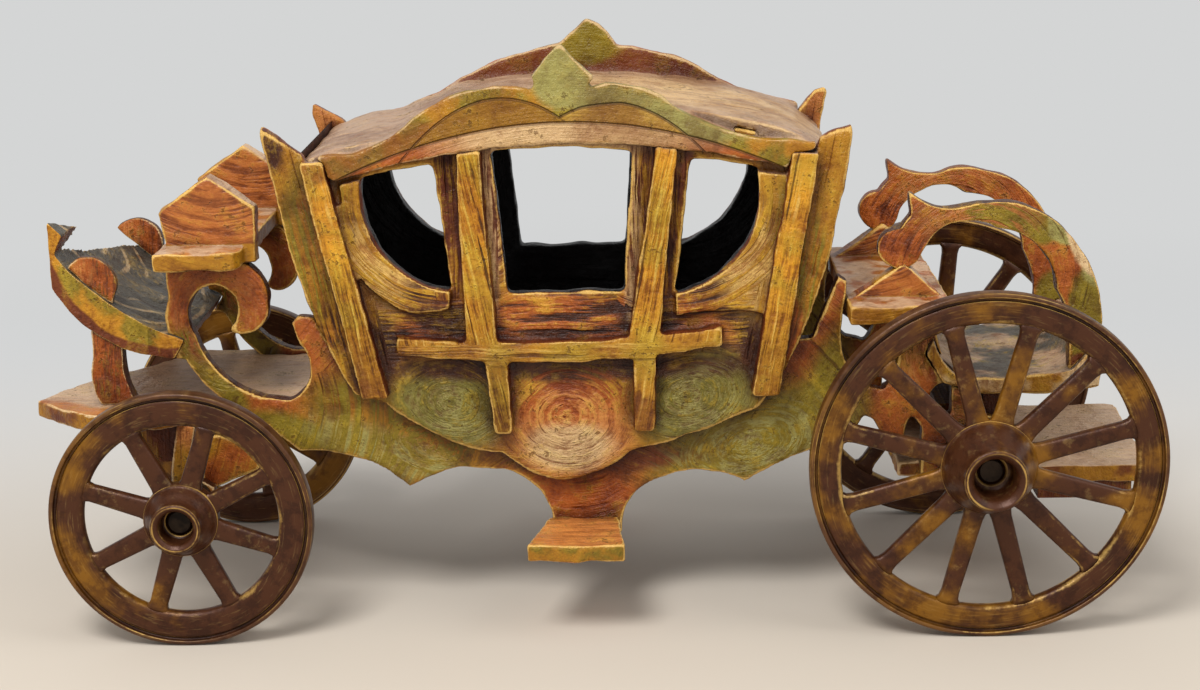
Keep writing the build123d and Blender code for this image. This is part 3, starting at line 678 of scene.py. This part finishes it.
class OBJECT_OT_coach_cabin(bpy.types.Operator):
    """Carve and paint the cabin sides with their battens and rails, and the walls"""
    bl_idname = "object.coach_cabin"
    bl_label = "Cabin"

    def execute(self, context):
        rust, russet, salmon, blush, dusty, olive, fern, umber, gilt, pale, black, bright = paints(
            "rust russet salmon blush dusty olive fern umber gilt verdigris black pale_gilt")
        strong = shade(gilt, 1.3)

        def leant(make):
            """Distance from the middle of the cabin, less what the leaning ends gain with height."""
            return make.less(make.gap(make.x, CABIN_X - 2 * MM), make.times(make.z, 0.2))

        def bar_comb(make):
            """Strokes along the battens, and along the rail where the board is level."""
            level = make.step(make.gap(make.z, RAIL), 6.5 * MM, 5.5 * MM)
            middle = make.step(make.gap(make.x, CABIN_X), 90 * MM, 88 * MM)
            return make.veer(make.times(level, middle), make.lines(leant(make), make.z, 24.0),
                             make.lines(make.z, make.x, 24.0))

        def gilded(make, along):
            """Gold bars, streaked along, brown where they run down to their feet."""
            gold = make.mix(make.step(make.z, 0.14, 0.19), shade(strong, 0.8), shade(strong, 1.35))
            feet = ((-46, 104, 14, 14), (36, 104, 14, 16), (-128, 240, 12, 10), (-110, 128, 8, 12))
            return make.layers(
                shade(gilt, 0.6), (make.step(along, 0.30, 0.46), gold),
                (make.step(along, 0.54, 0.66, 0.6), bright),
                (make.step(make.noise(30, 3), 0.44, 0.60, 0.5), shade(olive, 1.25)),
                *((make.times(make.patch(*place), 0.6), russet) for place in feet))

        def panel_comb(make):
            """Level strokes in the middle, strokes up the leaning corners, swirls under the waist and round
            the quarter windows, and strokes up the pillars between the windows."""
            corners = make.step(leant(make), 58 * MM, 66 * MM)
            lines = make.veer(corners, make.lines(make.z, make.x, 14.0),
                              make.lines(leant(make), make.z, 18.0))
            for x, z, wide, high, lean in (
                (-61, 117, 34, 25, -14), (-2, 108, 36, 30, 0), (60, 118, 36, 26, 12),
                (-60, 222, 64, 60, 0), (54, 222, 64, 60, 0),
            ):
                lines = make.veer(make.patch(x, z, wide, high, lean, 0.2, 0.1), lines,
                                  make.rings(x, z, high / wide, lean, run=12.0))
            near = make.maths("MINIMUM", *(make.gap(make.x, CABIN_X + x * MM) for x in PILLARS))
            pillar = make.times(make.step(near, 16.5 * MM, 15.5 * MM), make.step(make.z, 0.168, 0.174))
            return make.veer(pillar, lines, make.lines(make.x, make.z, 22.0))

        def sawn_edges(make):
            """Russet, and the roof's own dusty paint along the top."""
            top = make.times(make.step(make.z, 0.226, 0.232), make.step(make.up, 0.3, 0.5))
            middle = make.step(make.gap(make.x, CABIN_X), 0.130, 0.124)
            return make.mix(make.times(top, middle), russet, dusty)

        def inside(make):
            """Black with a faint cloud in it."""
            return make.mix(make.step(make.noise(80), 0.4, 0.8), black, shade(black, 1.8))

        panel = combed_paint(
            "panel paint", gilt, panel_comb, sawn=sawn_edges, inner=(black, 55.0, salmon),
            proud=(gilded, 68.6, bar_comb),
            zones=(
                (rust, -2, 154, 110, 18, 0), (gilt, -94, 196, 26, 46, -20), (gilt, 90, 192, 26, 46, 14),
                (fern, 64, 118, 36, 26, 18), (fern, -62, 114, 34, 22, -16), (salmon, -2, 100, 32, 27, 0),
                # umber at (-2, 134), just under the waist rail: painted shadow of the rail
                (blush, -2, 92, 22, 13, 0), (umber, -2, 134, 98, 7, 0), (russet, -34, 118, 6, 18, 0),
                (umber, -60, 160, 22, 8, -10), (umber, 40, 158, 16, 9, 0), (umber, -100, 138, 12, 22, -20),
                (umber, 96, 138, 10, 22, 16), (olive, -134, 192, 18, 62, -16), (olive, 122, 172, 14, 60, 14),
                (rust, 112, 150, 8, 34, 14), (umber, -148, 250, 8, 14, 0), (blush, 0, 250, 66, 7, 0),
                (russet, -62, 216, 6, 44, -4), (russet, 62, 216, 6, 44, 4), (blush, -39, 208, 5, 46, 0),
                (blush, 32, 208, 5, 46, 0)),
            streaks=(
                (umber, -100, 178, 36, 44, -20), (umber, 92, 176, 36, 42, 14), (umber, 0, 160, 100, 12, 0),
                (bright, -96, 190, 18, 30, -20), (bright, 90, 190, 16, 30, 14),
                (gilt, -128, 200, 14, 60, -16), (gilt, 120, 190, 14, 50, 14),
                (russet, -50, 210, 24, 44, 0), (russet, 46, 210, 24, 44, 0),
                (russet, -2, 124, 30, 10, 0), (pale, -60, 112, 24, 14, -16), (pale, 66, 116, 24, 16, 18),
                (rust, -2, 118, 30, 14, 0)),
            bold=(
                (-2, 100, 30, 26, 0, 0.45), (-61, 117, 26, 19, -14, 0.4), (60, 118, 26, 19, 12, 0.4),
                (-92, 184, 32, 40, -20), (88, 180, 32, 40, 14), (0, 160, 100, 10, 0), (-50, 210, 20, 44, 0),
                (46, 210, 20, 44, 0)))
        for side in SIDES:
            boards = [f"{stem}_{side}" for stem in ("cabin_panel", "battens", "waist_rail")]
            carved(f"cabin_side_{side}", boards, panel, cell=1.15)
        for node, ahead in (("front_wall", -1), ("rear_wall", 1)):
            make = Finish(f"{node} paint")
            outside = make.maths("MAXIMUM", make.step(make.times(make.ahead, ahead), 0.2, 0.4),
                                 make.step(make.z, 0.226, 0.230))
            boards, height = worn(make, russet, make.strokes(make.lines(make.y, make.z)))
            colour = make.mix(outside, inside(make), boards)
            dress((node,), make.close(colour, height, rough=0.6, rounding=0.5 * MM))
        make = Finish("inside black")
        dress(("cabin_floor",), make.close(inside(make), make.noise(300), rough=0.6))
        return {"FINISHED"}


class OBJECT_OT_coach_roof(bpy.types.Operator):
    """Carve and paint the roof with its fascia boards"""
    bl_idname = "object.coach_roof"
    bl_label = "Roof"

    def execute(self, context):
        rust, russet, blush, olive, umber, gilt, cream, pale, dusty = paints(
            "rust russet blush olive umber gilt cream verdigris dusty")
        make = Finish("roof and fascia paint")
        out = make.size(make.y)
        strokes = make.strokes(make.veer(
            make.step(out, 61 * MM, 63 * MM), make.lines(make.y, make.x, 30.0), make.rings(0, 60, run=30.0)))
        # fascia: green, with a lunette either side of the middle, a rust band under them and a pale crest
        band_top = make.over_arch(0, 260, 2.1)
        right_arch = make.maths("MAXIMUM", make.over_arch(28, 269, 4.7), make.over_arch(22, 269.4, 11.5))
        under = make.maths("MINIMUM", make.over_arch(-31, 272.2, 11.9), right_arch)
        tone = make.mix(make.step(make.x, CABIN_X - 4 * MM, CABIN_X + 4 * MM), shade(gilt, 0.7),
                        tuple(0.8 * a + 0.4 * b for a, b in zip(gilt, pale)))
        band = make.mix(make.patch(4, 252, 62, 16, 0, soft=0.4), rust, blush)
        back = make.step(make.y, -10 * MM, 10 * MM)
        level = make.step(make.size(make.aside), 0.7, 0.5)
        face = make.layers(
            shade(gilt, 1.1), (make.step(make.grain, 0.42, 0.6), shade(olive, 1.1)),
            (make.times(make.patch(-96, 246, 34, 12, 20), 0.6), russet),
            (make.patch(40, 268, 54, 14, -14), pale),
            (make.step(under, 0.2 * MM, -0.4 * MM), tone), (make.step(band_top, 0.4 * MM, -0.4 * MM), band),
            (make.patch(-1, 285, 16, 18, 0, 0.2), pale),
            (make.times(back, level), make.mix(make.patch(-1, 290, 22, 14, 0), rust, olive)))
        groove = make.step(make.maths("MINIMUM", make.size(band_top), make.size(under)), 1.0 * MM, 0.2 * MM)
        # sheet: dusty, with the insides of the fascia boards that stand over it, and umber underneath
        inner = make.mix(back, shade(dusty, 0.6), make.mix(make.patch(10, 290, 22, 16, 0), russet, olive))
        top = make.layers(
            dusty, (make.patch(60, 0, 70, 50, 0, 0.8, 0.5, "Y"), blush),
            (make.step(strokes, 0.58, 0.68, 0.3), cream),
            (make.step(strokes, 0.42, 0.30, 0.4), russet),
            (make.step(make.size(make.aside), 0.5, 0.8), inner), (make.step(make.up, -0.1, -0.4), umber))
        colour = make.mix(make.step(out, 64.5 * MM, 65.5 * MM), top, face)
        colour, height = worn(make, colour, strokes, combed=0.35, lit=0.3, dark=0.5, edge=cream, dirt=0.35,
                              bare=0.6)
        groove = make.times(groove, make.step(out, 66 * MM, 67 * MM))
        colour = make.mix(make.times(groove, make.blend(make.grain, 0.2, 0.9)), colour, umber)
        material = make.close(colour, make.less(height, make.times(groove, 0.8)))
        carved("roof", ("roof_sheet", "roof_fascia_left", "roof_fascia_right"), material, cell=1.15)
        return {"FINISHED"}


class OBJECT_OT_coach_seats(bpy.types.Operator):
    """Carve and paint the seats, their gables, the footboards, platforms and steps"""
    bl_idname = "object.coach_seats"
    bl_label = "Seats and platforms"

    def execute(self, context):
        rust, russet, salmon, olive, umber, gilt, cream, slate, taupe = paints(
            "rust russet salmon olive umber gilt cream slate taupe")
        for name, nodes, top, near, far, seat_top in (
            ("drivers_seat", ("driver_seat", "driver_gables"), 198, -166, 204, salmon),
            ("rear_bench", ("rear_seat", "rear_gables"), 166, 160, 166, rust),
        ):
            make = Finish(f"{name} paint")
            strokes = make.strokes(make.rings(near - 10, far + 70, 1.1, run=8.0))
            standing = make.step(make.z, (top + 1.0) * MM, (top + 1.8) * MM)
            upper = make.mix(make.step(make.grain, 0.46, 0.62), taupe, seat_top)
            # gilt edges, the seat's top, and umber on the underside: painted shade under the board
            board = make.layers(
                gilt, (make.step(make.up, 0.4, 0.75), upper), (make.step(make.up, -0.2, -0.5), umber))
            above = make.step(make.z, (top + 6) * MM, (top + 8) * MM)
            gable = make.layers(
                rust, (0.5, salmon), (make.step(strokes, 0.54, 0.40, 0.7), russet),
                (make.step(make.up, 0.3, 0.6, above),
                 make.mix(make.step(make.ahead, -0.1, 0.1), gilt, taupe)))
            colour, height = worn(make, make.mix(standing, board, gable), strokes,
                                  combed=make.blend(standing, 0.4, 0.6), lit=0.4, dark=0.6, dirt=0.5)
            carved(name, nodes, make.close(colour, height, depth=1.2 * MM), cell=0.85)

        def foot_edge(make):
            """Gold along the footboard's edge, dark rust along its lower arc and underneath."""
            far = make.far(*make.offsets(-201.8, 209.4, "Z"))
            far = make.plus(far, make.swing(make.noise(50, 3), 5 * MM))
            gold = make.mix(make.step(make.noise(60, 3), 0.46, 0.64), shade(gilt, 1.3), shade(olive, 0.9))
            colour = make.mix(make.step(far, 63.0 * MM, 64.6 * MM), gold, russet)
            return make.mix(make.step(make.size(make.aside), 0.6, 0.3), colour,
                            make.mix(make.step(make.ahead, -0.5, -0.8), russet, gilt))

        def foot_top(make):
            """Slate with thin cream arcs, drawn about the near front corner."""
            far = make.plus(make.far(*make.offsets(-292, 6, "Y")), make.times(make.noise(18, 2), 12 * MM))
            arcs = make.step(make.maths("SINE", make.maths("DIVIDE", far, 1.7 * MM)), 0.66, 0.98)
            arcs = make.times(arcs, make.step(make.noise(24, 2), 0.46, 0.6))
            return make.mix(make.times(arcs, 0.55), slate, cream)

        for name, node, cell, swell, middle in (
            ("carved_footboard", "footboard", 0.7, 0.8 * MM, (-228, 20)),
            ("carved_rear_footboard", "rear_footboard", 1.1, 0.0, (229, 12)),
        ):
            make = Finish(f"{node} paint")
            strokes = make.strokes(make.rings(*middle, 1.5, 0, "Y"))
            if node == "footboard":
                edge, upper = foot_edge(make), foot_top(make)
            else:
                upper = make.layers(
                    shade(taupe, 0.75), (make.step(make.noise(40, 3), 0.42, 0.6), slate),
                    (make.step(strokes, 0.56, 0.7, 0.5), olive))
                edge = make.mix(make.step(make.noise(40, 3), 0.44, 0.6), gilt, cream)
            colour = make.mix(make.step(make.size(make.aside), 0.45, 0.75), upper, edge)
            colour = make.mix(make.step(make.up, -0.1, -0.4), colour, russet)
            colour, height = worn(make, colour, strokes, combed=0.5, glaze=0.3, dirt=0.5)
            carved(name, (node,), make.close(colour, height), cell=cell, swell=swell)
        cheek = combed_paint(
            "cheek paint", russet, lambda m: m.lines(m.x, m.z), sawn=umber, edge=cream,
            zones=((salmon, -252, 184, 10, 8, 30), (salmon, -240, 112, 16, 9, 0)),
            streaks=((rust, -244, 160, 30, 50, 0),))
        carved("posts_and_cheeks", ("footboard_posts", "footboard_cheeks"), cheek, cell=0.75)
        platform = combed_paint(
            "platform paint", taupe, lambda m: m.lines(m.y, m.x, 16.0), plane="Y",
            sawn=lambda m: m.mix(m.step(m.noise(40, 4), 0.42, 0.6), gilt, russet),
            zones=((salmon, -262, -60, 30, 10, -30), (salmon, -240, -68, 24, 8, 0)), edge=cream, glaze=0.3,
            dark=0.5, combed=0.4, dirt=0.35)
        for end in ("front", "rear"):
            carved(f"{end}_deck", (f"{end}_platform",), platform, cell=1.25)
        step = combed_paint(
            "step paint", shade(salmon, 1.3), lambda m: m.lines(m.y, m.x, 14.0), plane="Y",
            sawn=lambda m: m.mix(m.step(m.noise(60, 4), 0.42, 0.6), gilt, shade(olive, 0.8)),
            streaks=((salmon, 0, -78, 40, 40, 0),), glaze=0.2, dark=0.4)
        strap = combed_paint("strap paint", salmon, lambda m: m.lines(m.x, m.z), sawn=umber, edge=cream,
                             zones=((gilt, -208, 80, 20, 16, 0),))
        for side in SIDES:
            carved(f"carved_step_{side}", (f"step_{side}",), step, cell=0.8)
            carved(f"strap_{side}", (f"axle_hanger_{side}",), strap, cell=0.75)
        under = combed_paint("under paint", russet, lambda m: m.lines(m.x, m.z), sawn=umber, edge=rust)
        dress(("rear_posts", "front_bolster", "rear_bolster", "rear_bearer"), under)
        return {"FINISHED"}


class OBJECT_OT_coach_wheels(bpy.types.Operator):
    """Cast the wheels and finish the axles"""
    bl_idname = "object.coach_wheels"
    bl_label = "Wheels and axles"

    def execute(self, context):
        own = context.scene.coach_wheels
        bronze, bright, pale = paints("bronze bronze_gilt pale_gilt")
        half, groove, web, back = own.rim / 2, 1.0 * MM, own.web / 2, own.hub_back
        for (end, axle_x, radius, rim_depth, hub, socket, floor, tip, across, deep, spokes, turns, near,
             far) in WHEELS:
            outer, inner = radius * MM, (radius - rim_depth) * MM
            band = outer - own.band
            lip, bed = half - 2.2 * groove, band - 1.6 * groove
            rim = np.array((
                (inner, groove - half), (band, groove - half), (band, -half), (outer, -half),
                (outer, half - groove), (outer - groove, half), (band, half), (band, lip), (bed, lip),
                (bed, half - groove), ((inner + band) / 2, half - 0.4 * groove), (inner, half - groove)))
            mouth, boss = (socket + across) * MM, (socket + across + 1.8) * MM
            hole, wide, end_face = socket * MM, hub * MM, tip * MM
            seat, ledge = floor * MM, (floor + 3.1) * MM
            shoulder, rise = (wide - boss) / 3, (end_face - 5 * MM - web) / 4
            barrel = np.array((
                (BORE, -back), (hole + 2 * MM, -back), (hole + 4 * MM, 4 * MM - back), (wide, -web - 2 * MM),
                (wide + 1.5 * MM, -web), (wide + 1.5 * MM, web), (wide, web + 1.2 * MM),
                (wide - 0.5 * MM, web + rise), (wide - shoulder, web + 2 * rise),
                (boss + shoulder, web + 3 * rise), (boss + 0.3 * MM, web + 4 * rise),
                (boss, end_face - 3.4 * MM), (boss, end_face - 1.0 * MM), (boss - 1.0 * MM, end_face),
                (mouth, end_face), (hole + across * MM / 4, (tip - deep * 0.55) * MM),
                (hole, (tip - deep) * MM), (hole, ledge), (COLLAR, ledge), (COLLAR, seat), (BORE, seat)))
            for side, out, first in zip(SIDES, (-1, 1), turns):
                node = f"{end}_wheel_{side}"
                centre = np.array((CABIN_X + axle_x * MM, out * own.hub_middle, outer))
                grids = [(*turned(cut_corners(rim), centre, out, 144), True),
                         (*turned(cut_corners(barrel, 1), centre, out, 96), True)]
                for number in range(spokes):
                    turn = math.radians(first * -out + number * 360 / spokes)
                    grids.append((*spoke(centre, out, turn, wide - 1.5 * MM, inner + 1.5 * MM, near * MM / 2,
                                         far * MM / 2, own.web), False))
                make = Finish(f"{node} bronze")
                a, b = make.offsets(axle_x, radius, "Z")
                away, turn = make.far(a, b), make.size(make.maths("ARCTAN2", b, a))
                ringed = make.noise(1.0, 3, 0.6, at=make.vector(
                    make.maths("DIVIDE", away, 1.1 * MM), make.times(turn, 5.0)))
                on_rim = make.step(away, inner - 1 * MM, inner + 1 * MM)
                scratch = make.blend(on_rim, make.noise(170, 4, 0.7), ringed)
                rub = make.plus(make.times(make.noise(17, 4, 0.58), 0.9), make.times(scratch, 0.1))
                mottled = make.step(make.noise(95, 5, 0.7), 0.46, 0.62)
                # thin pale line along the edges, in patches: painted highlight with rubbed wear
                line = make.times(make.rubbed(0.6, 0.9, 0.5), make.step(make.noise(26, 3), 0.36, 0.58))
                colour = make.layers(
                    bronze, (make.step(rub, 0.50, 0.61, 0.9), bright),
                    (make.step(away, band - 0.2 * MM, band + 0.3 * MM, 0.5), srgb(98, 66, 42)),
                    (make.times(mottled, 0.7), (0.42, 0.32, 0.26), "MULTIPLY"),
                    (make.step(scratch, 0.56, 0.70, 0.14), (0.50, 0.34, 0.12), "SCREEN"),
                    # darker near other surfaces: painted shade with some grime
                    (make.times(make.crevice(4.0), 0.6), (0.22, 0.14, 0.09), "MULTIPLY"),
                    (make.times(line, 0.6), pale))
                height = make.plus(make.noise(220, 4), make.times(make.noise(1100, 2), 0.3),
                                   make.times(scratch, 0.4))
                in_place_of(f"cast_{node}", joined_grids(f"cast_{node}", grids), make.close(
                    colour, height, rough=0.38, metal=0.25, depth=0.3 * MM, gloss=0.3), (node,))
        make = Finish("axle iron")
        colour = make.mix(make.step(make.noise(120), 0.4, 0.65), srgb(58, 46, 36), srgb(28, 22, 18))
        iron = make.close(colour, make.noise(300), rough=0.5, metal=0.7, depth=0.2 * MM)
        dress(("front_axle", "rear_axle"), iron)
        return {"FINISHED"}


class OBJECT_OT_coach_stage(bpy.types.Operator):
    """Set the camera, the lamps and the cloth that the coach stands on"""
    bl_idname = "object.coach_stage"
    bl_label = "Stage"

    def execute(self, context):
        stage = context.scene.coach_stage
        lens = bpy.data.cameras.new("camera")
        lens.sensor_width, lens.lens = 36, stage.lens
        lens.clip_start, lens.clip_end = 0.05, 50
        camera = placed("camera", lens)
        camera.matrix_world = (
            Matrix.Translation(Vector(stage.place))
            @ Matrix.Rotation(stage.turn, 4, "Z")
            @ Matrix.Rotation(math.radians(90) - stage.dip, 4, "X")
            @ Matrix.Rotation(stage.roll, 4, "Z"))
        context.scene.camera = camera

        mesh = bpy.data.meshes.new("cloth")
        corners = [(u * stage.reach, v * stage.reach, 0) for u, v in ((-1, -1), (1, -1), (1, 1), (-1, 1))]
        mesh.from_pydata(corners, [], [(0, 1, 2, 3)])
        cloth = placed("cloth", mesh)
        make = Finish("cloth")
        floor = make.mix(make.step(make.y, -0.15, 0.6), tuple(stage.ground), tuple(stage.back))
        lit = make.close(floor, rough=0.9)
        away = make.far(make.x, make.plus(make.y, 0.2))
        out = next(n for n in lit.node_tree.nodes if n.type == "OUTPUT_MATERIAL")
        near = out.inputs["Surface"].links[0].from_socket
        plain = make.node("ShaderNodeEmission", Color=tuple(stage.back)).outputs[0]
        joined = make.node("ShaderNodeMixShader")
        for socket, value in zip(joined.inputs, (make.step(away, 0.4, 1.3), near, plain)):
            make.put(socket, value)
        make.put(out.inputs["Surface"], joined.outputs[0])
        cloth.data.materials.append(lit)

        context.scene.view_settings.view_transform = "Standard"
        world = bpy.data.worlds.new("plain light")
        context.scene.world = world
        world.use_nodes = True
        nodes, links = world.node_tree.nodes, world.node_tree.links
        sky, seen = nodes["Background"], nodes.new("ShaderNodeBackground")
        sky.inputs["Color"].default_value = (1, 1, 1, 1)
        sky.inputs["Strength"].default_value = stage.fill
        seen.inputs["Color"].default_value = (*stage.back, 1)
        rays, either, choice = (nodes.new(f"ShaderNode{kind}") for kind in ("LightPath", "Math", "MixShader"))
        either.operation = "MAXIMUM"
        for start, end in (
            (rays.outputs["Is Camera Ray"], either.inputs[0]),
            (rays.outputs["Is Glossy Ray"], either.inputs[1]),
            (either.outputs[0], choice.inputs[0]), (sky.outputs[0], choice.inputs[1]),
            (seen.outputs[0], choice.inputs[2]), (choice.outputs[0], nodes["World Output"].inputs["Surface"]),
        ):
            links.new(start, end)
        for name, place, size, power in (
            ("front lamp", (-0.45, -1.0, 1.5), 0.6, stage.key),
            ("side lamp", (1.2, -0.6, 1.3), 1.0, stage.key * 0.3),
        ):
            lamp = bpy.data.lights.new(name, "AREA")
            lamp.size, lamp.energy = size, power
            aim = Vector((0, 0, 0.12)) - Vector(place)
            turn = aim.to_track_quat("-Z", "Y").to_matrix().to_4x4()
            placed(name, lamp).matrix_world = Matrix.Translation(place) @ turn
        return {"FINISHED"}


OPERATORS = (
    OBJECT_OT_coach_stage,
    OBJECT_OT_coach_side_boards,
    OBJECT_OT_coach_cabin,
    OBJECT_OT_coach_roof,
    OBJECT_OT_coach_seats,
    OBJECT_OT_coach_wheels,
)
GROUPS = (("coach_colours", CoachColours), ("coach_relief", CoachRelief), ("coach_wheels", CoachWheels),
          ("coach_stage", CoachStage))


class VIEW3D_PT_coach(bpy.types.Panel):
    """Pieces and sizes of the coach"""
    bl_idname = "VIEW3D_PT_coach"
    bl_label = "Coach"
    bl_space_type = "VIEW_3D"
    bl_region_type = "UI"
    bl_category = "Coach"

    def draw(self, context):
        for group, kind in GROUPS:
            box = self.layout.box()
            for key in kind.__annotations__:
                box.prop(getattr(context.scene, group), key)
        for operator in OPERATORS:
            self.layout.operator(operator.bl_idname)


def register():
    for group, kind in GROUPS:
        bpy.utils.register_class(kind)
        setattr(bpy.types.Scene, group, PointerProperty(type=kind))
    for kind in (*OPERATORS, VIEW3D_PT_coach):
        bpy.utils.register_class(kind)


def unregister():
    for kind in (VIEW3D_PT_coach, *reversed(OPERATORS)):
        bpy.utils.unregister_class(kind)
    for group, kind in reversed(GROUPS):
        delattr(bpy.types.Scene, group)
        bpy.utils.unregister_class(kind)


def main():
    register()
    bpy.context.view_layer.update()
    for operator in OPERATORS:
        group, name = operator.bl_idname.split(".")
        getattr(getattr(bpy.ops, group), name)()


if __name__ == "__main__":
    main()
